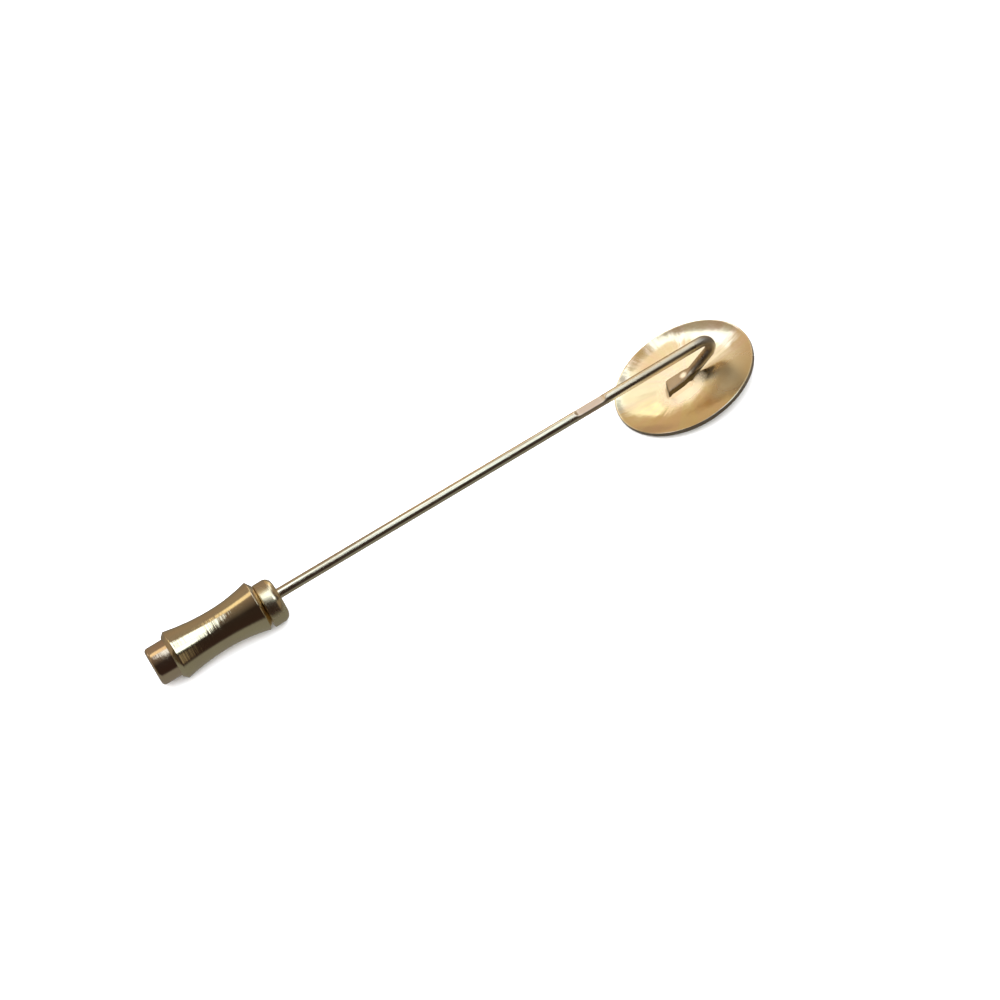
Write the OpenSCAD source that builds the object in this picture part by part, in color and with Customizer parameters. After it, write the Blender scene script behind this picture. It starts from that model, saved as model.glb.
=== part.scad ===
// Stick pin: a dished round head, a wire pin with an open hook at the head's back,
// and a pull clutch on the tip. It is modelled as it lies on a table, resting on
// the head's dome and the clutch's tail rim, with its middle over the origin.
// Along the wire, positions count from the head's centre and the tip is at -X.

/* [Head] */
// Diameter of the dished head
head_d = 14.1; // [12:0.1:18]
// Thickness of the sheet
sheet_t = 0.45; // [0.3:0.05:0.7]
// Inside radius of the dish's flatter middle
dish_r = 45; // [35:1:60]
// Inside radius of the zone round it that curves up more
dish_edge_r = 14; // [12:0.5:20]
// Diameter at which the two radii meet
dish_middle_d = 9.2; // [8:0.1:10]
// Angle between the wire and the head's plane
head_tilt = 6; // [4:0.5:8]
// Number of flats round the domed front, which the head rests on steadily
front_sides = 24; // [16:2:48]

/* [Foot and hook] */
// Height of the foot's top above the bottom of the dish
foot_h = 0.8; // [0.6:0.05:1]
// Width of the flattened foot at its free end
foot_w = 1.56; // [1.2:0.02:1.8]
// Width of the foot where the leg rises from it
foot_neck_w = 1.4; // [1.1:0.02:1.6]
// Distance from the head's centre to the middle of the foot's free end
foot_end = 1.75; // [1.2:0.05:2.5]
// Distance from the head's centre to the foot's neck
foot_neck = 0.2; // [0:0.05:0.6]
// Angle at which the foot's end is cut off
foot_cut = 16; // [0:1:25]
// Slope of the leg between foot and hook, against the head's plane
leg_slope = 20; // [16:1:24]
// Distance from the foot's neck at which the leg is fully round
leg_round_at = 1.2; // [1:0.05:1.5]
// Radius of the hook's centre line
hook_r = 0.78; // [0.7:0.01:0.9]
// Position of the hook's centre along the wire
hook_x = 3; // [2.6:0.1:4]

/* [Wire] */
// Diameter of the wire
wire_d = 1.02; // [0.8:0.02:1.2]
// Height of the wire's axis above the head's rim, over the head's centre
wire_h = 2.42; // [2.2:0.02:2.8]
// Length of the straight wire from the head's centre to the tip
wire_l = 53; // [50:0.5:54]
// Length of the ground point
point_l = 2.4; // [1.5:0.1:4]
// Diameter of the point's blunt end
point_d = 0.24; // [0.1:0.02:0.4]
// Distance from the head's centre to where the wire starts to taper
taper_x = 42.3; // [40:0.1:42.5]
// Diameter where the taper meets the point
taper_d = 0.94; // [0.8:0.02:1]
// Position of the small pressed flat's middle along the wire
flat_x = -8.9; // [-20:0.05:-8]
// Length of the pressed flat
flat_l = 3.4; // [2:0.05:5]
// Depth of the pressed flat
flat_depth = 0.16; // [0.05:0.01:0.2]
// Turn of the pressed flat about the wire, away from straight up
flat_turn = 18; // [0:1:40]
// How much the pressing has drawn in the wire's radius at the flat's end next to the head
flat_draw = 0.01; // [0.005:0.005:0.03]

/* [Clutch] */
// Distance from the head's centre to the clutch's mouth
mouth_x = 42.56; // [40:0.02:44]
// Length of the rounded collar at the mouth
collar_l = 1.75; // [1.5:0.05:2]
// Diameter of the collar
collar_d = 4.4; // [4:0.05:4.6]
// Radius of the collar's rounded front edge
collar_round = 0.95; // [0.5:0.05:1.1]
// How far the collar sits off the wire's axis
collar_off = 0.33; // [0:0.01:0.4]
// Direction in which it sits off, turned from straight down
collar_turn = 39; // [0:1:90]
// Length of the sleeve
sleeve_l = 9.57; // [9:0.01:10]
// Diameter of the sleeve's rim next to the collar
front_rim_d = 5.02; // [4.8:0.01:5.4]
// Diameter of the sleeve's rim at the tail
tail_rim_d = 4.9; // [4.8:0.01:5.4]
// Diameter of the sleeve's waist
waist_d = 3.92; // [3.8:0.01:4.2]
// Distance from the sleeve's tail end to its waist
waist_x = 5.03; // [4.5:0.01:5.5]
// Length of the sleeve's end bevels
bevel_l = 0.42; // [0.3:0.01:0.6]
// Diameter of the plug that shows past the sleeve
plug_d = 3.82; // [3.6:0.01:3.9]
// Length of the plug that shows
plug_l = 1.96; // [1.5:0.01:2.4]
// Radius of the plug's rounded edge
plug_round = 0.35; // [0.1:0.01:0.6]
// Outer diameter of the tube that carries collar, sleeve and plug
tube_d = 2.5; // [2.2:0.05:2.6]
// How far the sleeve pulls back towards the tail
sleeve_travel = 1.1; // [0.6:0.05:1.2]

/* [Hidden] */
$fn = 96;

// Running gap between pieces that slide, and gap between pieces that meet
slide_gap = 0.05;
seat_gap = 0.03;
// How far a cut or a joined piece reaches past a face
over = 0.1;

wire_r = wire_d / 2;
// Where the wire is drawn in, from just before the pressed flat to just past it
draw_from_x = flat_x - flat_l / 2 - 0.1;
draw_to_x = flat_x + flat_l / 2 + 0.1;
head_r = head_d / 2;

// Dish: slopes where the radii meet and at the rim, and the depth that follows
join_slope = asin(dish_middle_d / 2 / dish_r);
rim_slope = asin(sin(join_slope) + (head_r - dish_middle_d / 2) / dish_edge_r);
dish_depth = dish_r * (1 - cos(join_slope)) + dish_edge_r * (cos(join_slope) - cos(rim_slope));
dish_cz = dish_r - dish_depth;
edge_cx = (dish_r - dish_edge_r) * sin(join_slope);
edge_cz = dish_cz - (dish_r - dish_edge_r) * cos(join_slope);

// Foot and leg, in the head's own frame with its rim at height 0
foot_top = foot_h - dish_depth;
foot_bottom = -dish_depth - sheet_t / 3;
hook_cx = hook_x * cos(head_tilt) - hook_r * sin(head_tilt);
hook_cz = wire_h - hook_x * sin(head_tilt) - hook_r * cos(head_tilt);
leg_top_x = hook_cx + hook_r * sin(leg_slope);
leg_top_z = hook_cz - hook_r * cos(leg_slope);
leg_foot_x = leg_round_at - foot_neck;
leg_l = (leg_top_x - leg_foot_x) / cos(leg_slope);
hook_turn = 180 - leg_slope - head_tilt;

// Clutch: places along the wire, counted from the mouth towards the tail
collar_r = collar_d / 2;
tube_r = tube_d / 2;
plug_r = plug_d / 2;
bore_r = wire_r + slide_gap;
sleeve_front = collar_l + seat_gap;
sleeve_tail = sleeve_front + sleeve_l;
clutch_l = sleeve_tail + plug_l;
// The plug reaches into the sleeve, whose tail is bored out to pass over it
plug_inside = 0.5;
counterbore_l = plug_inside + sleeve_travel + 0.3;
tube_l = sleeve_tail + 0.28;
bore_l = wire_l - mouth_x + 0.2;
// Lands left on the sleeve's ends outside its bores
tail_land = 0.1;
front_land = 0.65;

// Domed front: its slope at the head's edge, and the slopes where its rings of flats meet
dome_r = dish_edge_r + sheet_t;
front_rim_slope = asin((head_r - edge_cx) / dome_r);

// Rest: the head's outer edge zone and the tail rim both touch the table
tail_rim_x = -(mouth_x + sleeve_tail - bevel_l);
tail_rim_r = tail_rim_d / 2;
dome_cx = -edge_cx * cos(head_tilt) - (edge_cz - wire_h) * sin(head_tilt);
dome_cz = -edge_cx * sin(head_tilt) + (edge_cz - wire_h) * cos(head_tilt);
rest_p = dome_cz + tail_rim_r;
rest_q = dome_cx - tail_rim_x;
pin_slope = atan2(rest_q, rest_p) - acos(dome_r / norm([rest_p, rest_q]));
rest_z = tail_rim_r * cos(pin_slope) - tail_rim_x * sin(pin_slope);

// The head touches the table where its front slopes as much as it is tilted
head_slope = pin_slope + head_tilt;
front_slopes = [
    join_slope / 4,
    join_slope * 5 / 8,
    join_slope,
    head_slope,
    (head_slope * 2 + front_rim_slope) / 3,
    (head_slope + front_rim_slope * 2) / 3,
    front_rim_slope
];

// The box's ends along X: the head's far edge and the plug's end
edge_h = dome_r * cos(front_rim_slope) - edge_cz;
far_x = wire_h * sin(head_slope) + head_r * cos(head_slope) + edge_h * sin(head_slope);
end_x = -(mouth_x + clutch_l) * cos(pin_slope) - (plug_r - plug_round) * sin(pin_slope);
rest_x = -(far_x + end_x) / 2;

// Sets the wire's frame down on the table
module at_rest() {
    translate([rest_x, 0, rest_z]) rotate([0, -pin_slope, 0]) children();
}

// The head's frame: its rim at height 0, tilted against the wire
module head_frame() {
    rotate([0, -head_tilt, 0]) translate([0, 0, -wire_h]) children();
}

// The clutch's frame: +Z runs from the mouth towards the tail along the wire
module clutch_frame() {
    translate([-mouth_x, 0, 0]) rotate([0, -90, 0]) children();
}

// Half of the dish's section, up to a little above the rim
module dish_section() {
    intersection() {
        union() {
            intersection() {
                translate([0, dish_cz]) circle(dish_r, $fn = 720);
                translate([0, -dish_depth]) square([dish_middle_d / 2, dish_depth + over]);
            }
            intersection() {
                translate([edge_cx, edge_cz]) circle(dish_edge_r, $fn = 720);
                translate([dish_middle_d / 2, -dish_depth]) square([head_r, dish_depth + over]);
            }
        }
        translate([0, -dish_depth]) square([head_r + over, dish_depth + over]);
    }
}

// Radius and height of the domed front where it has a given slope
function front_ring_r(slope) =
    slope > join_slope ? edge_cx + dome_r * sin(slope) : (dish_r + sheet_t) * sin(slope);
function front_ring_z(slope) =
    slope > join_slope ? edge_cz - dome_r * cos(slope) : dish_cz - (dish_r + sheet_t) * cos(slope);

// Points of a ring whose flats lie on radius r, one flat's middle towards -X
function ring_points(r) =
    [for (i = [0:front_sides - 1])
        let (turn = (i + 0.5) * 360 / front_sides)
        r / cos(180 / front_sides) * [cos(turn), sin(turn)]];

// Solid with the domed front, made of rings of flats, up to a little above the rim
module head_front() {
    slope_rings = [for (slope = front_slopes) [front_ring_r(slope), front_ring_z(slope)]];
    rings = concat(slope_rings, [[head_r, over]]);
    points = [for (ring = rings) for (p = ring_points(ring[0])) [p[0], p[1], ring[1]]];
    n = front_sides;
    last = n * (len(rings) - 1);
    sides = [for (j = [0:len(rings) - 2])
        for (i = [0:n - 1])
            let (i2 = (i + 1) % n)
            [j * n + i, (j + 1) * n + i, (j + 1) * n + i2, j * n + i2]];
    bottom = [for (i = [0:n - 1]) i];
    top = [for (i = [n - 1:-1:0]) last + i];
    polyhedron(points, concat([bottom], sides, [top]));
}

// Dished sheet with a straight cut edge
module head_sheet() {
    difference() {
        intersection() {
            head_front();
            translate([0, 0, -2 * dish_depth - sheet_t])
                cylinder(h = 2 * dish_depth + sheet_t, r = head_r);
        }
        rotate_extrude() dish_section();
    }
}

// Flattened end of the wire, soldered into the dish
module foot() {
    difference() {
        translate([0, 0, foot_bottom])
            linear_extrude(foot_top - foot_bottom)
                polygon([
                    [-foot_end - foot_w, -foot_w / 2],
                    [-foot_neck, -foot_neck_w / 2],
                    [-foot_neck, foot_neck_w / 2],
                    [-foot_end - foot_w, foot_w / 2]
                ]);
        translate([-foot_end, 0, 0])
            rotate([0, 0, -foot_cut])
                translate([-2 * foot_w, -foot_w, foot_bottom - over])
                    cube([2 * foot_w, 2 * foot_w, foot_h + sheet_t + 2 * over]);
    }
}

// Round leg that rises from the foot to the hook, with the drawn-out neck
module leg() {
    leg_foot_z = leg_top_z - (leg_top_x - leg_foot_x) * tan(leg_slope);
    slice_t = 0.02;
    translate([leg_foot_x, 0, leg_foot_z])
        rotate([0, 90 - leg_slope, 0])
            cylinder(h = leg_l, r = wire_r);
    hull() {
        translate([-foot_neck, -foot_neck_w / 2, foot_bottom])
            cube([slice_t, foot_neck_w, foot_top - foot_bottom]);
        translate([leg_foot_x, 0, leg_foot_z])
            rotate([0, 90 - leg_slope, 0])
                cylinder(h = slice_t, r = wire_r, $fn = 32);
    }
}

// Hook: the wire turned back on itself, in the wire's frame
module hook() {
    translate([hook_x, 0, -hook_r])
        rotate([90, 0, 0])
            rotate([0, 0, 90 - hook_turn])
                rotate_extrude(angle = hook_turn)
                    translate([hook_r, 0]) circle(wire_r);
}

// Straight wire with a slight taper, a ground point and the small pressed flat
module pin_wire() {
    difference() {
        union() {
            translate([draw_to_x, 0, 0])
                rotate([0, 90, 0])
                    cylinder(h = hook_x - draw_to_x, r = wire_r);
            translate([draw_from_x, 0, 0])
                rotate([0, 90, 0])
                    cylinder(h = draw_to_x - draw_from_x, r1 = wire_r, r2 = wire_r - flat_draw);
            translate([-taper_x, 0, 0])
                rotate([0, 90, 0])
                    cylinder(h = taper_x + draw_from_x, r = wire_r);
            translate([-wire_l + point_l, 0, 0])
                rotate([0, 90, 0])
                    cylinder(h = wire_l - point_l - taper_x, r1 = taper_d / 2, r2 = wire_r);
            translate([-wire_l, 0, 0])
                rotate([0, 90, 0])
                    cylinder(h = point_l, r1 = point_d / 2, r2 = taper_d / 2);
        }
        rotate([flat_turn, 0, 0])
            translate([flat_x - flat_l / 2, -wire_d, wire_r - flat_depth])
                cube([flat_l, 2 * wire_d, wire_d]);
    }
}

// Head and pin, soldered into one piece
module head_and_pin() {
    color("#c8a45c")
        at_rest() {
            head_frame() {
                head_sheet();
                foot();
                leg();
            }
            hook();
            pin_wire();
        }
}

// Barrel: a bored tube with the rounded collar at its mouth
module clutch_barrel() {
    color("#b8935a")
        at_rest() clutch_frame()
            difference() {
                union() {
                    cylinder(h = tube_l, r = tube_r);
                    rotate([0, 0, collar_turn])
                        translate([-collar_off, 0, 0])
                            rotate_extrude() collar_section();
                }
                translate([0, 0, -over]) cylinder(h = bore_l + over, r = bore_r);
            }
}

// Half section of the collar, with its front edge rounded
module collar_section() {
    translate([0, collar_round]) square([collar_r, collar_l - collar_round]);
    square([collar_r - collar_round, collar_l]);
    intersection() {
        translate([collar_r - collar_round, collar_round]) circle(collar_round);
        square([collar_r, collar_round]);
    }
}

// Plug: the tail cap, seated on the barrel's closed end
module clutch_plug() {
    color("#b98a72")
        at_rest() clutch_frame()
            difference() {
                rotate_extrude() plug_section();
                translate([0, 0, sleeve_tail - plug_inside - over])
                    cylinder(h = tube_l + seat_gap - sleeve_tail + plug_inside + over, r = tube_r + seat_gap);
            }
}

// Half section of the plug, with its tail edge rounded
module plug_section() {
    translate([0, sleeve_tail - plug_inside])
        square([plug_r, plug_inside + plug_l - plug_round]);
    translate([0, sleeve_tail]) square([plug_r - plug_round, plug_l]);
    intersection() {
        translate([plug_r - plug_round, clutch_l - plug_round]) circle(plug_round);
        translate([0, clutch_l - plug_round]) square([plug_r, plug_round]);
    }
}

// Sleeve: waisted between its two rims, with bevelled ends
module clutch_sleeve() {
    color("#c9a86a")
        at_rest() clutch_frame()
            difference() {
                rotate_extrude() sleeve_section();
                translate([0, 0, sleeve_front - over])
                    cylinder(h = sleeve_l + 2 * over, r = tube_r + slide_gap);
                translate([0, 0, sleeve_tail - counterbore_l])
                    cylinder(h = counterbore_l + over, r = plug_r + slide_gap);
            }
}

// Radius of an arc that leaves the waist square and rises by rise over run
function waist_arc(run, rise) = run * run / (2 * rise) + rise / 2;

// Half section of the sleeve without its bores
module sleeve_section() {
    waist_r = waist_d / 2;
    front_rim_r = front_rim_d / 2;
    waist_y = sleeve_tail - waist_x;
    front_y = sleeve_front + bevel_l;
    tail_y = sleeve_tail - bevel_l;
    front_arc = waist_arc(waist_y - front_y, front_rim_r - waist_r);
    tail_arc = waist_arc(tail_y - waist_y, tail_rim_r - waist_r);
    difference() {
        translate([0, front_y]) square([front_rim_r, waist_y - front_y]);
        translate([waist_r + front_arc, waist_y]) circle(front_arc);
    }
    difference() {
        translate([0, waist_y]) square([tail_rim_r, tail_y - waist_y]);
        translate([waist_r + tail_arc, waist_y]) circle(tail_arc);
    }
    polygon([
        [0, sleeve_front],
        [tube_r + front_land, sleeve_front],
        [front_rim_r, front_y],
        [0, front_y]
    ]);
    polygon([
        [0, tail_y],
        [tail_rim_r, tail_y],
        [plug_r + slide_gap + tail_land, sleeve_tail],
        [0, sleeve_tail]
    ]);
}

head_and_pin();
clutch_barrel();
clutch_plug();
clutch_sleeve();
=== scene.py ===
"""Stick pin lying on a pale table, seen from behind its head and a little from the tail.

Sizes are in millimetres, as in the CAD source, and turn into metres where a mesh is made.
Along the wire, positions count from the head's centre, and the tip is at -X.
"""

import math

import bpy
from mathutils import Matrix, Vector, noise


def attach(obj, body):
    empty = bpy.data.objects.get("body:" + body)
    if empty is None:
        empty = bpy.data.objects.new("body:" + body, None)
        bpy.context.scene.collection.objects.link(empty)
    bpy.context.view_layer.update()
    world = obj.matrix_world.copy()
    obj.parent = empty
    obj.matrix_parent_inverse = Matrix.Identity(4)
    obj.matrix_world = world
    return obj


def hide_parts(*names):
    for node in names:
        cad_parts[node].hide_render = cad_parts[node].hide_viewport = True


MM = 0.001

# Sizes, as in the CAD source
HEAD_R, SHEET_T = 7.05, 0.45
DISH_R, DISH_EDGE_R, DISH_MIDDLE_R = 45.0, 14.0, 4.6
HEAD_TILT = math.radians(6)

FOOT_H, FOOT_W, FOOT_NECK_W = 0.8, 1.56, 1.4
FOOT_END, FOOT_NECK, FOOT_CUT = 1.75, 0.2, math.radians(16)
LEG_SLOPE, LEG_ROUND_AT = math.radians(20), 1.2
HOOK_R, HOOK_X = 0.78, 3.0

WIRE_R, WIRE_H, WIRE_L = 0.51, 2.42, 53.0
POINT_L, POINT_R, TAPER_X, TAPER_R = 2.4, 0.12, 42.3, 0.47
FLAT_X, FLAT_L, FLAT_DEPTH, FLAT_TURN = -8.9, 3.4, 0.16, math.radians(18)

MOUTH_X = 42.56
COLLAR_L, COLLAR_R, COLLAR_ROUND, COLLAR_OFF = 1.75, 2.2, 0.95, 0.33
COLLAR_TURN = math.radians(39)
SLEEVE_L, FRONT_RIM_R, TAIL_RIM_R = 9.57, 2.51, 2.45
WAIST_R, WAIST_X, BEVEL_L = 1.96, 5.03, 0.42
PLUG_R, PLUG_L, PLUG_ROUND, PLUG_INSIDE = 1.91, 1.96, 0.35, 0.5
TUBE_R, SLEEVE_TRAVEL, SLIDE_GAP, SEAT_GAP = 1.25, 1.1, 0.05, 0.03
TAIL_LAND, FRONT_LAND = 0.1, 0.65

# Finer than the CAD source: how far the foot's end slopes outwards, as a share of its height, the
# power that makes the foot square (2 is an ellipse), and the length over which the flat eases in
FOOT_RAKE, FOOT_POWER, FLAT_EASE = 0.4, 10, 0.4
# The pressed rim is uneven from this share of the radius outwards, up and down and inwards
UNEVEN_FROM, UNEVEN_UP, UNEVEN_IN = 0.6, 0.02, 0.035
# How far the solder reaches past the foot's neck, and the power that rounds its outline's corners
SOLDER_FRONT, SOLDER_CORNER = 0.25, 0.3
# Rounding of turned edges
EDGE_ROUND = 0.12

# What follows from the sizes
JOIN_SLOPE = math.asin(DISH_MIDDLE_R / DISH_R)
RIM_SLOPE = math.asin(math.sin(JOIN_SLOPE) + (HEAD_R - DISH_MIDDLE_R) / DISH_EDGE_R)
MIDDLE_DEPTH = DISH_R * (1 - math.cos(JOIN_SLOPE))
DISH_DEPTH = MIDDLE_DEPTH + DISH_EDGE_R * (math.cos(JOIN_SLOPE) - math.cos(RIM_SLOPE))
DISH_CZ = DISH_R - DISH_DEPTH
EDGE_CX = (DISH_R - DISH_EDGE_R) * math.sin(JOIN_SLOPE)
EDGE_CZ = DISH_CZ - (DISH_R - DISH_EDGE_R) * math.cos(JOIN_SLOPE)
DOME_R = DISH_EDGE_R + SHEET_T

FOOT_TOP = FOOT_H - DISH_DEPTH
FOOT_BOTTOM = -DISH_DEPTH - SHEET_T / 3
HOOK_CX = HOOK_X * math.cos(HEAD_TILT) - HOOK_R * math.sin(HEAD_TILT)
HOOK_CZ = WIRE_H - HOOK_X * math.sin(HEAD_TILT) - HOOK_R * math.cos(HEAD_TILT)
LEG_TOP_X = HOOK_CX + HOOK_R * math.sin(LEG_SLOPE)
LEG_TOP_Z = HOOK_CZ - HOOK_R * math.cos(LEG_SLOPE)
LEG_FOOT_X = LEG_ROUND_AT - FOOT_NECK
LEG_FOOT_Z = LEG_TOP_Z - (LEG_TOP_X - LEG_FOOT_X) * math.tan(LEG_SLOPE)
FLAT_FROM, FLAT_TO = FLAT_X - FLAT_L / 2, FLAT_X + FLAT_L / 2

SLEEVE_FRONT = COLLAR_L + SEAT_GAP
SLEEVE_TAIL = SLEEVE_FRONT + SLEEVE_L
CLUTCH_L = SLEEVE_TAIL + PLUG_L
COUNTERBORE_L = PLUG_INSIDE + SLEEVE_TRAVEL + 0.3
TUBE_L = SLEEVE_TAIL + 0.28
BORE_R = WIRE_R + SLIDE_GAP
BORE_L = WIRE_L - MOUTH_X + 0.2

# The head's outer zone and the sleeve's tail rim touch the table
TAIL_RIM_X = -(MOUTH_X + SLEEVE_TAIL - BEVEL_L)
DOME_CX = -EDGE_CX * math.cos(HEAD_TILT) - (EDGE_CZ - WIRE_H) * math.sin(HEAD_TILT)
DOME_CZ = -EDGE_CX * math.sin(HEAD_TILT) + (EDGE_CZ - WIRE_H) * math.cos(HEAD_TILT)
REST_P = DOME_CZ + TAIL_RIM_R
REST_Q = DOME_CX - TAIL_RIM_X
PIN_SLOPE = math.atan2(REST_Q, REST_P) - math.acos(DOME_R / math.hypot(REST_P, REST_Q))
REST_Z = TAIL_RIM_R * math.cos(PIN_SLOPE) - TAIL_RIM_X * math.sin(PIN_SLOPE)
HEAD_SLOPE = PIN_SLOPE + HEAD_TILT
EDGE_H = DOME_R * math.cos(math.asin((HEAD_R - EDGE_CX) / DOME_R)) - EDGE_CZ
FAR_X = WIRE_H * math.sin(HEAD_SLOPE) + HEAD_R * math.cos(HEAD_SLOPE) + EDGE_H * math.sin(HEAD_SLOPE)
END_X = -(MOUTH_X + CLUTCH_L) * math.cos(PIN_SLOPE) - (PLUG_R - PLUG_ROUND) * math.sin(PIN_SLOPE)
REST_X = -(FAR_X + END_X) / 2

# Frames: the wire's, the head's with its rim at height 0, and the clutch's with +Z towards the tail
WIRE_FRAME = Matrix.Translation((REST_X, 0, REST_Z)) @ Matrix.Rotation(-PIN_SLOPE, 4, "Y")
HEAD_FRAME = WIRE_FRAME @ Matrix.Rotation(-HEAD_TILT, 4, "Y") @ Matrix.Translation((0, 0, -WIRE_H))
CLUTCH_FRAME = WIRE_FRAME @ Matrix.Translation((-MOUTH_X, 0, 0)) @ Matrix.Rotation(-math.pi / 2, 4, "Y")

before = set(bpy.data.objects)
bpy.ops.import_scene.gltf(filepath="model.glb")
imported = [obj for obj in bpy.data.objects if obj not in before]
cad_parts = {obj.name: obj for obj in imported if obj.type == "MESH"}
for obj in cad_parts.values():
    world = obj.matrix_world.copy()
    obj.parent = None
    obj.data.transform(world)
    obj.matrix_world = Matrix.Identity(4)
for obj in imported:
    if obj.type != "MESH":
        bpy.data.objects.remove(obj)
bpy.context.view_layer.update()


# Mesh helpers
def make_object(name, verts, faces, material, sharp=35):
    """An object from vertices in millimetres in the row frame, smooth but for edges past an angle."""
    mesh = bpy.data.meshes.new(name)
    mesh.from_pydata([tuple(v * MM) for v in verts], [], faces)
    mesh.validate()
    mesh.update()
    mesh.polygons.foreach_set("use_smooth", [True] * len(mesh.polygons))
    mesh.set_sharp_from_angle(angle=math.radians(sharp))
    mesh.materials.append(material)
    obj = bpy.data.objects.new(name, mesh)
    bpy.context.scene.collection.objects.link(obj)
    return obj


def skin(rings, start_point=None, end_point=None):
    """Vertices and faces over rings of equal count, closed at each end by a fan to a point."""
    n = len(rings[0])
    verts = [v for ring in rings for v in ring]
    faces = []
    for j in range(len(rings) - 1):
        for i in range(n):
            i2 = (i + 1) % n
            faces.append((j * n + i, j * n + i2, (j + 1) * n + i2, (j + 1) * n + i))
    if start_point is not None:
        verts.append(start_point)
        faces += [(len(verts) - 1, (i + 1) % n, i) for i in range(n)]
    if end_point is not None:
        verts.append(end_point)
        last = (len(rings) - 1) * n
        faces += [(len(verts) - 1, last + i, last + (i + 1) % n) for i in range(n)]
    return verts, faces


def fillet(points, radii, steps=5):
    """A polyline whose corners are rounded by the given radii (0 leaves a corner)."""
    out = []
    for k, (p, radius) in enumerate(zip(points, radii)):
        if radius <= 0 or k in (0, len(points) - 1):
            out.append(Vector(p))
            continue
        p = Vector(p)
        a, b = Vector(points[k - 1]) - p, Vector(points[k + 1]) - p
        da, db = a.normalized(), b.normalized()
        half = da.angle(db) / 2
        reach = min(radius / math.tan(half), a.length * 0.49, b.length * 0.49)
        radius = reach * math.tan(half)
        centre = p + (da + db).normalized() * (radius / math.sin(half))
        start, end = p + da * reach - centre, p + db * reach - centre
        turn = start.angle_signed(end)
        for s in range(steps + 1):
            v = start.copy()
            v.rotate(Matrix.Rotation(-turn * s / steps, 2))
            out.append(centre + v)
    return out


def lathe(profile, segments, place, wobble=None):
    """Rings from a profile of (radius, height), with the ends at radius 0 left out."""
    rings = []
    for r, z in profile:
        if r < 1e-6:
            continue
        ring = []
        for i in range(segments):
            a = 2 * math.pi * i / segments
            v = Vector((r * math.cos(a), r * math.sin(a), z))
            ring.append(place @ (wobble(v, a) if wobble else v))
        rings.append(ring)
    return rings


def turned(name, profile, segments, place, material, wobble=None):
    """A lathe-turned piece. Its profile starts and ends on the axis, or else closes on itself."""
    rings = lathe(profile, segments, place, wobble)
    start = place @ Vector((0, 0, profile[0][1])) if profile[0][0] < 1e-6 else None
    end = place @ Vector((0, 0, profile[-1][1])) if profile[-1][0] < 1e-6 else None
    if start is None:
        rings.append(rings[0])
    verts, faces = skin(rings, start, end)
    return make_object(name, verts, faces, material)


# Shader nodes
class NodeKit:
    """Short calls that add nodes to one tree. A value is another node's output or a plain number."""

    def __init__(self, tree):
        self.tree = tree

    def new(self, kind):
        return self.tree.nodes.new("ShaderNode" + kind)

    def link(self, value, socket):
        if hasattr(value, "links"):
            self.tree.links.new(value, socket)
        else:
            socket.default_value = value

    def calc(self, operation, a, b=0.0):
        node = self.new("Math")
        node.operation = operation
        self.link(a, node.inputs[0])
        self.link(b, node.inputs[1])
        return node.outputs[0]

    def vector_calc(self, operation, a, b=(0, 0, 0), output="Vector"):
        node = self.new("VectorMath")
        node.operation = operation
        self.link(a, node.inputs[0])
        self.link(b, node.inputs[1])
        return node.outputs[output]

    def split(self, vector):
        node = self.new("SeparateXYZ")
        self.link(vector, node.inputs["Vector"])
        return node.outputs

    def mapped(self, vector, turn, scale=(1, 1, 1)):
        node = self.new("Mapping")
        node.inputs["Rotation"].default_value = turn
        node.inputs["Scale"].default_value = scale
        self.link(vector, node.inputs["Vector"])
        return node.outputs["Vector"]

    def noise_at(self, vector, scale, detail, output="Fac"):
        node = self.new("TexNoise")
        node.inputs["Scale"].default_value = scale
        node.inputs["Detail"].default_value = detail
        self.link(vector, node.inputs["Vector"])
        return node.outputs[output]

    def ranged(self, value, low, high, to_low=0.0, to_high=1.0, curve="LINEAR"):
        node = self.new("MapRange")
        node.interpolation_type = curve
        limits = {"From Min": low, "From Max": high, "To Min": to_low, "To Max": to_high}
        for key, number in limits.items():
            node.inputs[key].default_value = number
        self.link(value, node.inputs["Value"])
        return node.outputs["Result"]

    def blend(self, amount, a, b):
        """From colour a, a triple or an output, to the triple b."""
        node = self.new("Mix")
        node.data_type = "RGBA"
        self.link(amount, node.inputs[0])
        self.link(a if hasattr(a, "links") else (*a, 1), node.inputs[6])
        self.link((*b, 1), node.inputs[7])
        return node.outputs[2]


# Materials. Scales of their unevenness, per metre
DRIFT_SCALE, GLOSS_SCALE, DULL_SCALE = 420, 900, 650
WANDER_SCALE, SCRATCH_SCALE, SPOT_SCALE = 300, 9000, 1200
# Scales of the rays' depth and of their tint, round the dish
RAY_SCALE, RAY_TINT_SCALE = 2.6, 4.1
# Where a stain or painted spot begins and is full, as shares of its radius, and how ragged its edge is
SPOT_OUTER, SPOT_INNER, SPOT_RAGGED = 1.6, 0.8, 0.35
# How far the edge of the painted shade fades to each side
PAINTED_SHADE_SOFT = 0.03


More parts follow.
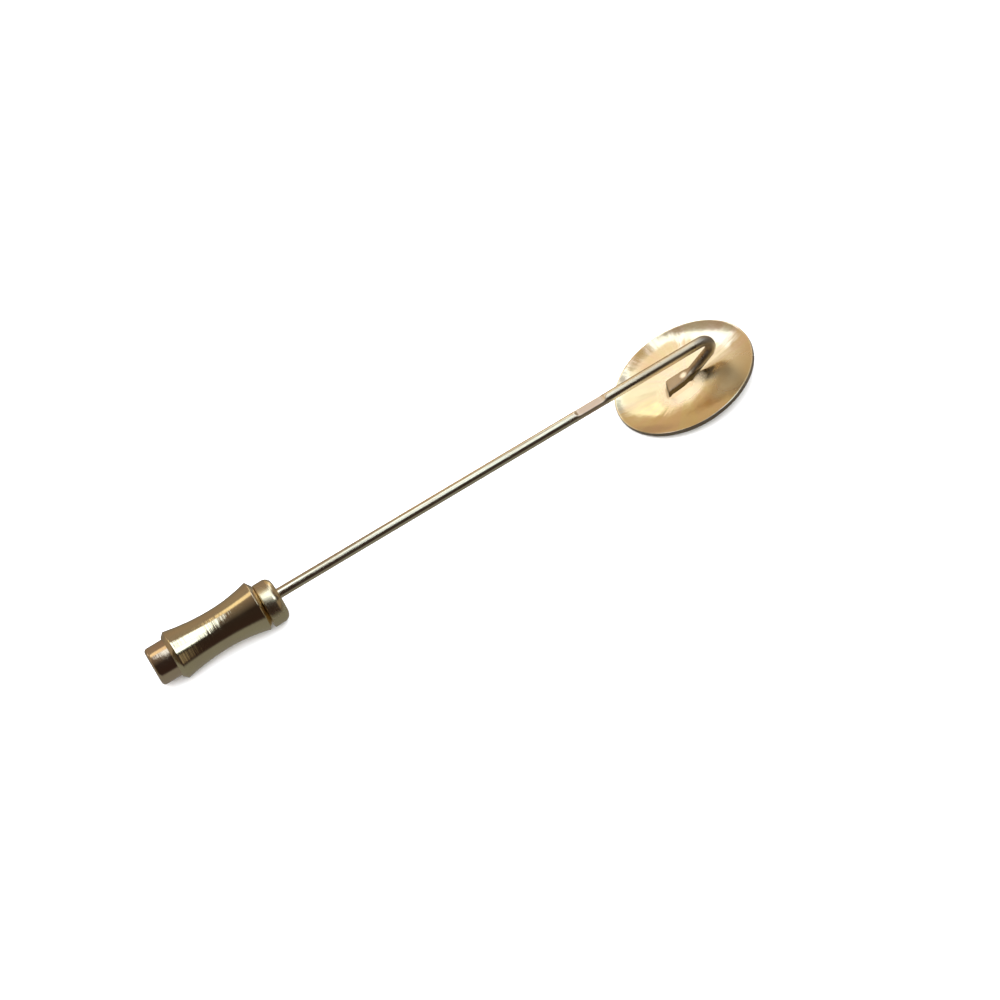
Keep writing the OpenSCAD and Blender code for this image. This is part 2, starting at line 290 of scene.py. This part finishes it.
def metal(
        name, colour, tint, roughness, grain=None, scratches=0.0, dull=0.0, fan=None, stains_and_painted_spots=(),
        painted_shade=None):
    """Gold-tone plate. Its colour drifts towards tint and its gloss varies, and it can carry more.

    grain: scale, depth and waviness of turning marks. scratches and dull: depth of fine and soft
    unevenness. fan: slope and tint of faint rays pressed into the dish. stains_and_painted_spots:
    centre, radius, colour and added roughness of each dull place, and the share of the metal that a
    matte residue hides there; some places are stains, some painted shade and one a painted highlight.
    painted_shade: colour of painted shade on the faces that lie below a height and beyond a radius
    in the head's frame, with that height and radius.
    """
    m = bpy.data.materials.new(name)
    m.use_nodes = True
    shader = m.node_tree.nodes["Principled BSDF"]
    kit = NodeKit(m.node_tree)
    calc, vector_calc, noise_at = kit.calc, kit.vector_calc, kit.noise_at
    ranged, blend = kit.ranged, kit.blend
    place = kit.new("TexCoord").outputs["Object"]
    bumps = []

    def bumped(height, depth):
        node = kit.new("Bump")
        node.inputs["Strength"].default_value = 1.0
        node.inputs["Distance"].default_value = depth * MM
        kit.link(height, node.inputs["Height"])
        if bumps:
            kit.link(bumps[-1].outputs["Normal"], node.inputs["Normal"])
        bumps.append(node)

    shade = blend(ranged(noise_at(place, DRIFT_SCALE, 3), 0.35, 0.7), colour, tint)
    gloss = ranged(noise_at(place, GLOSS_SCALE, 4), 0.3, 0.75, *roughness)
    bare = 1.0

    if dull:
        bumped(noise_at(place, DULL_SCALE, 2), dull)
    if fan or painted_shade:
        in_head = kit.mapped(place, (0, HEAD_SLOPE, 0))
        middle = Matrix.Rotation(HEAD_SLOPE, 3, "Y") @ HEAD_FRAME.translation * MM
        local = vector_calc("SUBTRACT", in_head, tuple(middle))
        flat = vector_calc("MULTIPLY", local, (1, 1, 0))
        reach = vector_calc("LENGTH", flat, output="Value")
    if fan:
        slope, ray_tint = fan
        around = vector_calc("NORMALIZE", flat)
        rays = noise_at(around, RAY_SCALE, 4)
        # the rays get deeper outwards, and their height is in metres already
        bumped(calc("MULTIPLY", calc("MULTIPLY", rays, reach), slope), 1 / MM)
        shade = blend(ranged(noise_at(around, RAY_TINT_SCALE, 3), 0.42, 0.62), shade, ray_tint)
    if grain:
        scale, depth, waviness = grain
        wander = vector_calc("MULTIPLY", noise_at(place, WANDER_SCALE, 2, "Color"), (waviness * MM,) * 3)
        along = kit.mapped(vector_calc("ADD", place, wander), (0, PIN_SLOPE, 0), (1, 0.02, 0.02))
        bumped(noise_at(along, scale, 6), depth)
    if scratches:
        bumped(noise_at(place, SCRATCH_SCALE, 3), scratches)
    # Stains and painted spots: each mixes in its colour, adds roughness and hides metal, in a ragged
    # edge
    for centre, radius, spot_colour, spot_gloss, residue in stains_and_painted_spots:
        distance = vector_calc("DISTANCE", place, tuple(centre * MM), "Value")
        edge = calc("MULTIPLY", noise_at(place, SPOT_SCALE, 3), radius * SPOT_RAGGED * MM)
        ragged = calc("ADD", distance, edge)
        amount = ranged(ragged, radius * SPOT_OUTER * MM, radius * SPOT_INNER * MM)
        shade = blend(amount, shade, spot_colour)
        gloss = calc("ADD", gloss, calc("MULTIPLY", amount, spot_gloss))
        bare = calc("SUBTRACT", bare, calc("MULTIPLY", amount, residue))
    # Painted shade: a darker colour on the faces below a height and beyond a radius in the head's frame
    if painted_shade:
        painted_shade_colour, height, radius = painted_shade
        below = ranged(kit.split(local)["Z"], (height + PAINTED_SHADE_SOFT) * MM, (height - PAINTED_SHADE_SOFT) * MM)
        beyond = ranged(reach, (radius - PAINTED_SHADE_SOFT) * MM, (radius + PAINTED_SHADE_SOFT) * MM)
        shade = blend(calc("MULTIPLY", below, beyond), shade, painted_shade_colour)

    kit.link(shade, shader.inputs["Base Color"])
    kit.link(gloss, shader.inputs["Roughness"])
    kit.link(bare, shader.inputs["Metallic"])
    if bumps:
        kit.link(bumps[-1].outputs["Normal"], shader.inputs["Normal"])
    return m


# Middles of the stains and of the spots of painted shade and painted highlight, and the colours
joint = HEAD_FRAME @ Vector((-0.4, 0, FOOT_TOP))
flat_middle = WIRE_FRAME @ Vector((FLAT_X, 0, WIRE_R))
residue_middle = HEAD_FRAME @ Vector((-0.7, -0.4, FOOT_TOP - 0.3))
dish_right = HEAD_FRAME @ Vector((3.9, -3.5, -0.4))
# Painted shade: the wire turns browner where it runs over the dish, its highlight too
painted_shade_over_dish = WIRE_FRAME @ Vector((0, 0, -1))
# Painted shade: the hook's bend is darker and duller, in place of its highlight
painted_shade_bend = WIRE_FRAME @ Vector((HOOK_X + HOOK_R, 0, 0))
# Painted highlight: a pale, half-matte spot on the foot's top stands in for a glint
painted_glint_foot = HEAD_FRAME @ Vector((0.02, -0.1, FOOT_TOP + 0.03))
head_gold = metal(
    "head_gold", (0.86, 0.75, 0.50), (0.85, 0.70, 0.43), (0.08, 0.15), dull=0.012, scratches=0.0006,
    fan=(0.005, (0.87, 0.69, 0.49)),
    stains_and_painted_spots=[
        (residue_middle, 1.9, (0.63, 0.49, 0.31), 0.4, 0.85),
        (dish_right, 2.7, (0.67, 0.52, 0.29), 0.22, 0.05)],
    # Painted shade: a dark band on the rim's outer face, just below the lip
    painted_shade=((0.36, 0.27, 0.19), -0.08, HEAD_R - 0.1))
wire_gold = metal(
    "wire_gold", (0.83, 0.70, 0.47), (0.80, 0.64, 0.42), (0.18, 0.28), scratches=0.0008,
    stains_and_painted_spots=[
        # painted shade on the wire over the dish
        (painted_shade_over_dish, 5.6, (0.64, 0.49, 0.30), 0.06, 0),
        (joint, 1.9, (0.62, 0.46, 0.28), 0.16, 0),
        # painted shade on the hook's bend
        (painted_shade_bend, 1.15, (0.48, 0.39, 0.28), 0.25, 0),
        (flat_middle, 1.5, (0.79, 0.56, 0.37), 0.14, 0),
        # painted highlight on the foot's top
        (painted_glint_foot, 0.32, (0.8, 0.68, 0.48), 0.1, 0.6)],
    # Painted shade: the foot's sides and all faces below its top are nearly black
    painted_shade=((0.1, 0.075, 0.035), FOOT_TOP - 0.1, 0))
barrel_gold = metal(
    "barrel_gold", (0.78, 0.63, 0.38), (0.74, 0.57, 0.34), (0.2, 0.3), dull=0.006, scratches=0.0008)
plug_rose = metal(
    "plug_rose", (0.79, 0.59, 0.38), (0.74, 0.53, 0.34), (0.1, 0.18),
    grain=(2600, 0.008, 0.1), dull=0.03)
sleeve_gold = metal(
    "sleeve_gold", (0.80, 0.65, 0.38), (0.76, 0.59, 0.36), (0.1, 0.18),
    grain=(3200, 0.024, 0.2), dull=0.006)
solder_gold = metal(
    "solder_gold", (0.8, 0.66, 0.44), (0.72, 0.57, 0.37), (0.45, 0.6), dull=0.02, scratches=0.001,
    stains_and_painted_spots=[(joint, 3, (0.56, 0.42, 0.25), 0.1, 0.6)])


# Head: dished disc
def dish_z(r, below=0.0):
    """Height in the head's frame of the hollow, or of a face below it, at distance r from the middle."""
    if r <= DISH_MIDDLE_R:
        return DISH_CZ - math.sqrt((DISH_R + below) ** 2 - r * r)
    return EDGE_CZ - math.sqrt((DISH_EDGE_R + below) ** 2 - (r - EDGE_CX) ** 2)


def dish_profile():
    """Centre of the hollow back, out over the lip, and back to the centre of the domed front."""
    steps, back_round = 34, 0.07
    reaches = [HEAD_R * i / steps for i in range(steps + 1)]
    line = [(r, dish_z(r)) for r in reaches]
    line += [(r, dish_z(r, SHEET_T)) for r in reversed(reaches)]
    radii = [0] * len(line)
    radii[steps : steps + 2] = back_round, EDGE_ROUND
    return fillet(line, radii, 6)


def dish_wobble(v, a):
    """The sheet isn't quite round or flat: a pressed edge dips and swells a little."""
    edge = max(0.0, math.hypot(v.x, v.y) / HEAD_R - UNEVEN_FROM) / (1 - UNEVEN_FROM)
    p = Vector((math.cos(a), math.sin(a), 3.1)) * 1.7
    v.z += UNEVEN_UP * edge * noise.noise(p)
    inward = UNEVEN_IN * edge * (0.5 + 0.5 * noise.noise(p * 2.3 + Vector((5, 1, 2))))
    return Vector((v.x * (1 - inward / HEAD_R), v.y * (1 - inward / HEAD_R), v.z))


head = turned("head_dish", dish_profile(), 192, HEAD_FRAME, head_gold, wobble=dish_wobble)
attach(head, "pin")


# Wire, hook, leg and foot in one skin
def oval_ring(centre, across, up, half_w, half_h, power, n):
    """A ring of points: power 2 is an ellipse, higher powers come closer to a rectangle."""
    ring = []
    for i in range(n):
        a = 2 * math.pi * i / n
        c, s = math.cos(a), math.sin(a)
        x = math.copysign(abs(c) ** (2 / power), c)
        y = math.copysign(abs(s) ** (2 / power), s)
        ring.append(centre + across * (half_w * x) + up * (half_h * y))
    return ring


def wire_stations():
    """Places along the straight wire, from its blunt point to the hook, each with its radius."""
    stations = [(-WIRE_L + 0.02, POINT_R * 0.75), (-WIRE_L + 0.07, POINT_R)]
    for t in (0.2, 0.4, 0.6, 0.8, 0.96):
        stations.append((-WIRE_L + POINT_L * t, POINT_R + (TAPER_R - POINT_R) * t))
    stations += [(-WIRE_L + POINT_L * 1.04, TAPER_R + 0.001)]
    stations += [(-TAPER_X - 3, 0.485), (-TAPER_X, WIRE_R)]
    places = [-TAPER_X + 1.5 * k for k in range(1, 21)]
    # close together where the flat begins and ends
    places += [FLAT_FROM - 0.1 + 0.1 * k for k in range(7)]
    places += [FLAT_FROM + 0.5 + (FLAT_L - 1) * k / 6 for k in range(1, 6)]
    places += [FLAT_TO - 0.5 + 0.1 * k for k in range(7)]
    places += [FLAT_TO + 0.1 + (HOOK_X - FLAT_TO - 0.1) * k / 8 for k in range(1, 9)]
    return stations + [(x, WIRE_R) for x in places]


def wire_ring(x, r, n):
    """A ring of the straight wire at x, cut level near its top where the flat is pressed."""
    t = max(0, min(1, (x - FLAT_FROM) / FLAT_EASE, (FLAT_TO - x) / FLAT_EASE))
    pressed = FLAT_DEPTH * t * t * (3 - 2 * t)
    c, s = math.cos(FLAT_TURN), math.sin(FLAT_TURN)
    ring = []
    for i in range(n):
        a = 2 * math.pi * i / n
        y, z = -r * math.cos(a), r * math.sin(a)
        if pressed:
            along, out = y * c + z * s, min(z * c - y * s, r - pressed)
            y, z = along * c - out * s, along * s + out * c
        ring.append(WIRE_FRAME @ Vector((x, y, z)))
    return ring


def wire_rings(n=48):
    """Rings from the point to the foot's cut end, in the row frame."""
    rings = [wire_ring(x, r, n) for x, r in wire_stations()]
    turn = WIRE_FRAME.to_3x3()
    head_turn = HEAD_FRAME.to_3x3()
    across = Vector((0, -1, 0))
    # hook: turns down and back about the point under the wire's end
    sweep = math.pi - LEG_SLOPE - HEAD_TILT
    for k in range(1, 23):
        a = sweep * k / 22
        mid = Vector((HOOK_X + HOOK_R * math.sin(a), 0, -HOOK_R + HOOK_R * math.cos(a)))
        up = turn @ Vector((math.sin(a), 0, math.cos(a)))
        rings.append(oval_ring(WIRE_FRAME @ mid, across, up, WIRE_R, WIRE_R, 2, n))
    # leg: straight down towards the tail
    leg_top, leg_foot = Vector((LEG_TOP_X, 0, LEG_TOP_Z)), Vector((LEG_FOOT_X, 0, LEG_FOOT_Z))
    up = head_turn @ Vector((math.sin(LEG_SLOPE), 0, -math.cos(LEG_SLOPE)))
    for k in range(1, 5):
        mid = leg_top.lerp(leg_foot, k / 4)
        rings.append(oval_ring(HEAD_FRAME @ mid, across, up, WIRE_R, WIRE_R, 2, n))
    # neck: the round leg is drawn out flat and square
    foot_mid, foot_half = (FOOT_TOP + FOOT_BOTTOM) / 2, (FOOT_TOP - FOOT_BOTTOM) / 2
    neck = Vector((-FOOT_NECK, 0, foot_mid))
    for k in range(1, 9):
        t = k / 8
        slope = LEG_SLOPE * (1 - t)
        up = head_turn @ Vector((math.sin(slope), 0, -math.cos(slope)))
        half_w = WIRE_R + (FOOT_NECK_W / 2 - WIRE_R) * t
        half_h = WIRE_R + (foot_half - WIRE_R) * t
        mid = leg_foot.lerp(neck, t)
        power = 2 + (FOOT_POWER - 2) * t**2
        rings.append(oval_ring(HEAD_FRAME @ mid, across, up, half_w, half_h, power, n))
    # foot: flattened, a little wider towards its end, which is cut off at a slant and slopes outwards.
    # Each ring: how far along it is, then how much narrower and lower, which rounds the end's edge
    for t, narrower, lower in ((0.3, 0, 0), (0.6, 0, 0), (0.9, 0, 0), (0.97, 0, 0), (1.0, 0.06, 0.05)):
        half_w = (FOOT_NECK_W + (FOOT_W - FOOT_NECK_W) * t) / 2 * (1 - narrower)
        mid = Vector((-FOOT_NECK + (FOOT_NECK - FOOT_END) * t, 0, foot_mid))
        ring = oval_ring(mid, across, Vector((0, 0, -1)), half_w, foot_half - lower, FOOT_POWER, n)
        cut, rake = math.tan(FOOT_CUT) * t, FOOT_RAKE * t
        rings.append([
            HEAD_FRAME @ Vector((v.x + v.y * cut - (FOOT_TOP - v.z) * rake, v.y, v.z)) for v in ring])
    return rings


rings = wire_rings()
tip = WIRE_FRAME @ Vector((-WIRE_L, 0, 0))
foot_end = sum(rings[-1], Vector()) / len(rings[-1])
verts, faces = skin(rings, tip, foot_end)
wire = make_object("wire_hook_foot", verts, faces, wire_gold, sharp=28)
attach(wire, "pin")


# Steps of the solder's slope, from under the foot's edge outwards: distance and height
SOLDER_STEPS = ((-0.08, 0.24), (0.0, 0.21), (0.1, 0.14), (0.22, 0.075), (0.36, 0.025), (0.46, -0.03))


def solder_rings(n=72):
    """A low uneven fillet of solder round the foot, thickest on the -Y side."""
    rings = []
    for out, up in SOLDER_STEPS:
        ring = []
        for i in range(n):
            a = 2 * math.pi * i / n
            c, s = math.cos(a), math.sin(a)
            # on the foot's outline, which is square with round corners
            side = math.copysign(abs(s) ** SOLDER_CORNER, s)
            near = 0.5 + 0.5 * math.copysign(abs(c) ** SOLDER_CORNER, c)
            half_w = (FOOT_W + (FOOT_NECK_W - FOOT_W) * near) / 2
            end = -FOOT_END - FOOT_H * FOOT_RAKE + side * half_w * math.tan(FOOT_CUT) * (1 - near)
            x, y = end + (SOLDER_FRONT - end) * near, side * half_w
            # outwards from there, further where the solder is thick
            lump = (0.62 + 0.2 * c - 0.3 * s) * (1 + 0.4 * noise.noise(Vector((c * 2.1, s * 2.1, 7.7))))
            spread = out * lump if out > 0 else out
            nx, ny = (c, s) if abs(c) > 0.1 and abs(s) > 0.1 else (round(c), round(s))
            x, y = x + nx * spread, y + ny * spread
            ring.append(HEAD_FRAME @ Vector((x, y, dish_z(math.hypot(x, y)) + up * lump)))
        rings.append(ring)
    return rings


solder_core = HEAD_FRAME @ Vector((-0.8, 0, FOOT_BOTTOM + 0.1))
verts, faces = skin(solder_rings()[::-1], None, solder_core)
solder = make_object("solder_fillet", verts, faces, solder_gold, sharp=60)
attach(solder, "pin")
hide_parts("head_and_pin")
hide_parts("head_and_pin")

# Clutch: barrel with its collar
collar_shift = Vector((-COLLAR_OFF * math.cos(COLLAR_TURN), -COLLAR_OFF * math.sin(COLLAR_TURN), 0))


def barrel():
    """Collar, tube and bore in one closed skin. The collar sits off the bore's axis."""
    n = 128
    collar = fillet(
        [(BORE_R + 0.12, 0), (COLLAR_R, 0), (COLLAR_R, COLLAR_L), (TUBE_R, COLLAR_L)],
        [0, COLLAR_ROUND, EDGE_ROUND, 0], 14)
    bore = [(BORE_R, BORE_L), (BORE_R, BORE_L / 2), (BORE_R, 0.12), (BORE_R + 0.1, 0.0)]
    tube = [(TUBE_R, COLLAR_L), (TUBE_R, COLLAR_L + 0.05), (TUBE_R, TUBE_L / 2), (TUBE_R, TUBE_L)]
    rings = lathe(bore, n, CLUTCH_FRAME)
    rings += lathe(collar[1:-1], n, CLUTCH_FRAME @ Matrix.Translation(collar_shift))
    rings += lathe(tube, n, CLUTCH_FRAME)
    start = CLUTCH_FRAME @ Vector((0, 0, BORE_L))
    end = CLUTCH_FRAME @ Vector((0, 0, TUBE_L))
    verts, faces = skin(rings, start, end)
    return make_object("clutch_collar", verts, faces, barrel_gold)


collar = barrel()
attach(collar, "clutch")
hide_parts("clutch_barrel")

# Clutch: plug at the tail
plug_front, plug_bore = SLEEVE_TAIL - PLUG_INSIDE, TUBE_R + SEAT_GAP
plug_line = fillet(
    [(0, CLUTCH_L), (PLUG_R - 0.02, CLUTCH_L), (PLUG_R, plug_front), (plug_bore, plug_front),
     (plug_bore, TUBE_L + SEAT_GAP), (0, TUBE_L + SEAT_GAP)],
    [0, PLUG_ROUND, 0.05, 0, 0, 0], 8)
plug = turned("clutch_plug_cap", [tuple(p) for p in plug_line], 96, CLUTCH_FRAME, plug_rose)
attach(plug, "clutch")
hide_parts("clutch_plug")


# Clutch: turned sleeve
def waist_arc(run, rise):
    """Radius of the arc that runs from the waist to a rim and rises to it."""
    return run * run / (2 * rise) + rise / 2


def sleeve_profile():
    """Outside from the front bevel over the waist to the tail bevel, then back through the bores."""
    waist_y = SLEEVE_TAIL - WAIST_X
    front_y, tail_y = SLEEVE_FRONT + BEVEL_L, SLEEVE_TAIL - BEVEL_L
    front_arc = waist_arc(waist_y - front_y, FRONT_RIM_R - WAIST_R)
    tail_arc = waist_arc(tail_y - waist_y, TAIL_RIM_R - WAIST_R)
    line = [(TUBE_R + SLIDE_GAP, SLEEVE_FRONT), (TUBE_R + FRONT_LAND, SLEEVE_FRONT)]
    radii = [0, 0.1]
    steps = 60
    for k in range(steps + 1):
        y = front_y + (tail_y - front_y) * k / steps
        arc = front_arc if y < waist_y else tail_arc
        line.append((WAIST_R + arc - math.sqrt(arc * arc - (y - waist_y) ** 2), y))
        radii.append(EDGE_ROUND if k in (0, steps) else 0)
    tail_bore, bore_end = PLUG_R + SLIDE_GAP, SLEEVE_TAIL - COUNTERBORE_L
    line += [
        (tail_bore + TAIL_LAND, SLEEVE_TAIL), (tail_bore, SLEEVE_TAIL),
        (tail_bore, bore_end), (TUBE_R + SLIDE_GAP, bore_end)]
    radii += [0.04, 0.03, 0, 0]
    return [tuple(p) for p in fillet(line, radii, 5)]


sleeve = turned("clutch_sleeve_turned", sleeve_profile(), 128, CLUTCH_FRAME, sleeve_gold)
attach(sleeve, "sleeve")
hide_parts("clutch_sleeve")

# Camera, as the photo was taken: its directions to the right and backwards, and its place
camera_data = bpy.data.cameras.new("camera")
camera = bpy.data.objects.new("camera", camera_data)
bpy.context.scene.collection.objects.link(camera)
right = Vector((0.86341, -0.39379, -0.31537)).normalized()
back = Vector((-0.11807, -0.76547, 0.63255))
back = (back - right * back.dot(right)).normalized()
up = back.cross(right)
place = Matrix((right, up, back)).transposed().to_4x4()
place.translation = Vector((-48.92, -343.63, 283.37)) * MM
camera.matrix_world = place
camera_data.sensor_width = 36
camera_data.lens = 174.15
camera_data.clip_start = 0.01
camera_data.clip_end = 20
bpy.context.scene.camera = camera

# Table
FLOOR_HALF, FLOOR_DROP = 3.0, 0.00002
floor_mesh = bpy.data.meshes.new("table")
corners = [(x * FLOOR_HALF, y * FLOOR_HALF, 0) for x, y in ((-1, -1), (1, -1), (1, 1), (-1, 1))]
floor_mesh.from_pydata(corners, [], [(0, 1, 2, 3)])
floor = bpy.data.objects.new("table", floor_mesh)
bpy.context.scene.collection.objects.link(floor)
floor.location.z = -FLOOR_DROP
paper = bpy.data.materials.new("table_paper")
paper.use_nodes = True
paper_shader = paper.node_tree.nodes["Principled BSDF"]
paper_shader.inputs["Base Color"].default_value = (0.9, 0.9, 0.9, 1)
paper_shader.inputs["Roughness"].default_value = 0.9
paper_shader.inputs["Specular IOR Level"].default_value = 0.1
floor_mesh.materials.append(paper)


# Light helpers
def area_light(name, azimuth, elevation, distance, width, height, power):
    """A soft box facing the pin. Azimuth 0 is on the camera's side and 90 on the head's side."""
    data = bpy.data.lights.new(name, "AREA")
    data.shape = "RECTANGLE"
    data.size, data.size_y = width, height
    data.energy = power
    obj = bpy.data.objects.new(name, data)
    bpy.context.scene.collection.objects.link(obj)
    a, e = math.radians(azimuth), math.radians(elevation)
    direction = Vector((math.sin(a) * math.cos(e), -math.cos(a) * math.cos(e), math.sin(e)))
    obj.location = direction * distance
    obj.rotation_euler = direction.to_track_quat("Z", "Y").to_euler()
    return obj


def paint_panels(kit, direction, panels, walls=()):
    """Mix soft-edged panels over the walls, or over black, by the tilt and lean of a direction.

    Tilt is in degrees from the horizon on the camera's side up over the top to the far side.
    Lean is the part of the direction that points towards the head.
    """
    def band(value, low, high, soft):
        begun = kit.ranged(value, low - soft, low + soft, curve="SMOOTHSTEP")
        ended = kit.ranged(value, high - soft, high + soft, curve="SMOOTHSTEP")
        return kit.calc("MULTIPLY", begun, kit.calc("SUBTRACT", 1.0, ended))

    parts = kit.split(direction)
    angle = kit.calc("ARCTAN2", parts["Z"], kit.calc("MULTIPLY", parts["Y"], -1.0))
    from_below = kit.calc("ADD", kit.calc("MULTIPLY", angle, 180 / math.pi), 90.0)
    round_once = kit.calc("FLOORED_MODULO", from_below, 360.0)
    tilt = kit.calc("SUBTRACT", round_once, 90.0)
    light = (0, 0, 0)
    if walls:
        node = kit.new("ValToRGB")
        stops = node.color_ramp.elements
        while len(stops) < len(walls):
            stops.new(0.5)
        for stop, (at, colour) in zip(stops, walls):
            stop.position = (at + 90) / 360
            stop.color = (*colour, 1)
        kit.link(kit.calc("DIVIDE", round_once, 360.0), node.inputs["Fac"])
        light = node.outputs["Color"]
    for low, high, soft, near, far, edge, slant, colour in panels:
        above = kit.calc("SUBTRACT", tilt, low)
        slanted = kit.calc("ADD", parts["X"], kit.calc("MULTIPLY", above, slant))
        amount = kit.calc("MULTIPLY", band(tilt, low, high, soft), band(slanted, near, far, edge))
        light = kit.blend(amount, light, colour)
    return light


def studio_world():
    """The studio round the table, as the metal mirrors it: dim walls and soft panels of light."""
    world = bpy.data.worlds.new("studio")
    bpy.context.scene.world = world
    world.use_nodes = True
    kit = NodeKit(world.node_tree)
    background = world.node_tree.nodes["Background"]
    direction = kit.new("TexCoord").outputs["Generated"]
    kit.link(paint_panels(kit, direction, ROOM_PANELS, WALLS), background.inputs["Color"])
    background.inputs["Strength"].default_value = 1.0


def card(name, panels, target, distance, tilts, leans):
    """A lit card close to the pin that only reflections show. Tilts and leans are seen from target."""
    tilt = math.radians(sum(tilts) / 2)
    half = math.radians(tilts[1] - tilts[0]) / 2
    sides = [distance * lean / math.sqrt(1 - lean * lean) for lean in leans]
    data = bpy.data.lights.new(name, "AREA")
    data.shape = "RECTANGLE"
    data.size = (sides[1] - sides[0]) * MM
    data.size_y = 2 * distance * math.tan(half) * MM
    data.energy = math.pi * data.size * data.size_y
    data.use_nodes = True
    kit = NodeKit(data.node_tree)
    away = kit.vector_calc("SUBTRACT", kit.new("NewGeometry").outputs["Position"], tuple(target * MM))
    light = paint_panels(kit, kit.vector_calc("NORMALIZE", away), panels)
    kit.link(light, data.node_tree.nodes["Emission"].inputs["Color"])
    obj = bpy.data.objects.new(name, data)
    bpy.context.scene.collection.objects.link(obj)
    out = Vector((0, -math.cos(tilt), math.sin(tilt)))
    obj.location = (target + out * distance + Vector((sum(sides) / 2, 0, 0))) * MM
    obj.rotation_euler = out.to_track_quat("Z", "Y").to_euler()
    obj.visible_camera = False
    obj.visible_diffuse = False


# Tilt and colour of the room's walls and table, from straight down all the way round to it again
WALLS = [
    (-90, (0.24, 0.26, 0.26)), (-34, (0.23, 0.25, 0.25)), (-21, (0.035, 0.022, 0.02)),
    (42, (0.03, 0.022, 0.02)), (62, (0.12, 0.10, 0.09)), (90, (0.235, 0.19, 0.16)),
    (118, (0.33, 0.29, 0.25)), (150, (0.35, 0.285, 0.23)), (172, (0.30, 0.25, 0.20)),
    (188, (0.24, 0.22, 0.2)), (268, (0.24, 0.26, 0.26))]
COOL_WHITE = (1.3, 1.6, 2.05)
CREAM = (0.88, 0.95, 0.95)
# Each panel: lowest and highest tilt and their softness, least and greatest lean and their softness,
# slant (how much the lean's limits move with each degree of tilt), and colour
ROOM_PANELS = [
    (140, 160, 5, -0.72, -0.54, 0.04, 0, (1.0, 0.92, 0.8)),
    (136, 190, 6, 0.54, 0.72, 0.04, 0, (1.0, 0.92, 0.8)),
    (-58, 100, 6, -1.1, -0.8, 0.04, 0, (0.07, 0.05, 0.03)),
    (83, 98, 4, -0.07, 0.48, 0.02, 0, COOL_WHITE),
    (44, 83, 3, 0.186, 0.7, 0.02, 0.0071, COOL_WHITE),
    (-16, 30, 6, 0.36, 1.2, 0.06, 0, (0.3, 0.26, 0.2)),
]
CLUTCH_PANELS = [
    (98, 117, 4, -0.6, 0.02, 0.09, 0, (0.95, 0.85, 0.6)),
    (42, 60, 3, 0.2, 0.44, 0.02, 0, (1.1, 1.4, 1.8)),
    (95, 110, 3, 0.48, 0.7, 0.02, 0, COOL_WHITE),
]
OCHRE = (0.28, 0.19, 0.05)
HEAD_PANELS = [
    (146, 185, 4, -0.5, 0.5, 0.05, 0, OCHRE),
    (144, 161, 3, 0.11, 0.5, 0.03, 0, (0.13, 0.06, 0.0)),
    (100, 140, 4, -0.5, -0.08, 0.03, 0, (0.08, 0.06, 0.04)),
    (100, 143, 2, 0.012, 0.9, 0.012, 0.0058, CREAM),
    (100, 137.5, 2, 0.17, 0.3, 0.02, 0, COOL_WHITE),
    (100, 141, 2, 0.012, 0.14, 0.012, 0.0058, COOL_WHITE),
    (137.5, 140.8, 0.8, 0.0, 0.18, 0.02, 0, (0.72, 0.72, 0.7)),
    (141, 145.4, 0.6, 0.013, 0.2, 0.006, 0, (1.2, 1.28, 1.0)),
    (140.3, 150, 0.8, -0.5, 0.012, 0.006, 0, OCHRE),
    (141, 152, 0.8, 0.185, 0.7, 0.008, 0.0333, OCHRE),
    (139, 150, 1.5, -0.5, -0.1, 0.03, 0, (0.3, 0.22, 0.12)),
    (123, 133, 2, -0.08, 0.045, 0.012, 0, (0.7, 0.63, 0.48)),
    (100, 123.5, 1.5, -0.02, 0.09, 0.012, 0, (0.22, 0.14, 0.0)),
    (100, 129, 2, 0.1, 0.16, 0.015, 0, COOL_WHITE),
    (121, 128, 1, 0.12, 0.165, 0.006, 0, (0.1, 0.17, 0.25)),
    (133, 141, 1, 0.18, 0.7, 0.004, 0, (0.2, 0.29, 0.37)),
    (143, 158, 2, -0.045, -0.018, 0.01, -0.0029, (0.4, 0.32, 0.16)),
]
WIRE_PANELS = [(96, 110, 3, -0.3, 0.3, 0.02, 0, COOL_WHITE)]
COLLAR_PANELS = [(64, 100, 3, -0.5, 0.5, 0.02, 0, (1.1, 1.35, 1.7))]

# Light
studio_world()
sleeve_middle = WIRE_FRAME @ Vector((-MOUTH_X - SLEEVE_FRONT - SLEEVE_L / 2, 0, 0))
head_middle = HEAD_FRAME.translation
wire_middle, collar_near = Vector((-1, 0, 3)), Vector((-17.7, 0, 2.8))
card("clutch_card", CLUTCH_PANELS, sleeve_middle, distance=90, tilts=(36, 122), leans=(-0.5, 0.61))
card("head_card", HEAD_PANELS, head_middle, distance=60, tilts=(106, 176), leans=(-0.4, 0.36))
card("wire_card", WIRE_PANELS, wire_middle, distance=45, tilts=(90, 116), leans=(-0.14, 0.2))
card("collar_card", COLLAR_PANELS, collar_near, distance=45, tilts=(56, 104), leans=(-0.06, 0.06))
soft_box = area_light("soft_box", azimuth=0, elevation=78, distance=1.2, width=2.6, height=2.2, power=62)
fill = area_light("fill", azimuth=-10, elevation=28, distance=1.2, width=1.6, height=1.0, power=16)
# The metal doesn't mirror these
for matte_only in (soft_box, fill, floor):
    matte_only.visible_glossy = False
bpy.context.scene.view_settings.view_transform = "Standard"
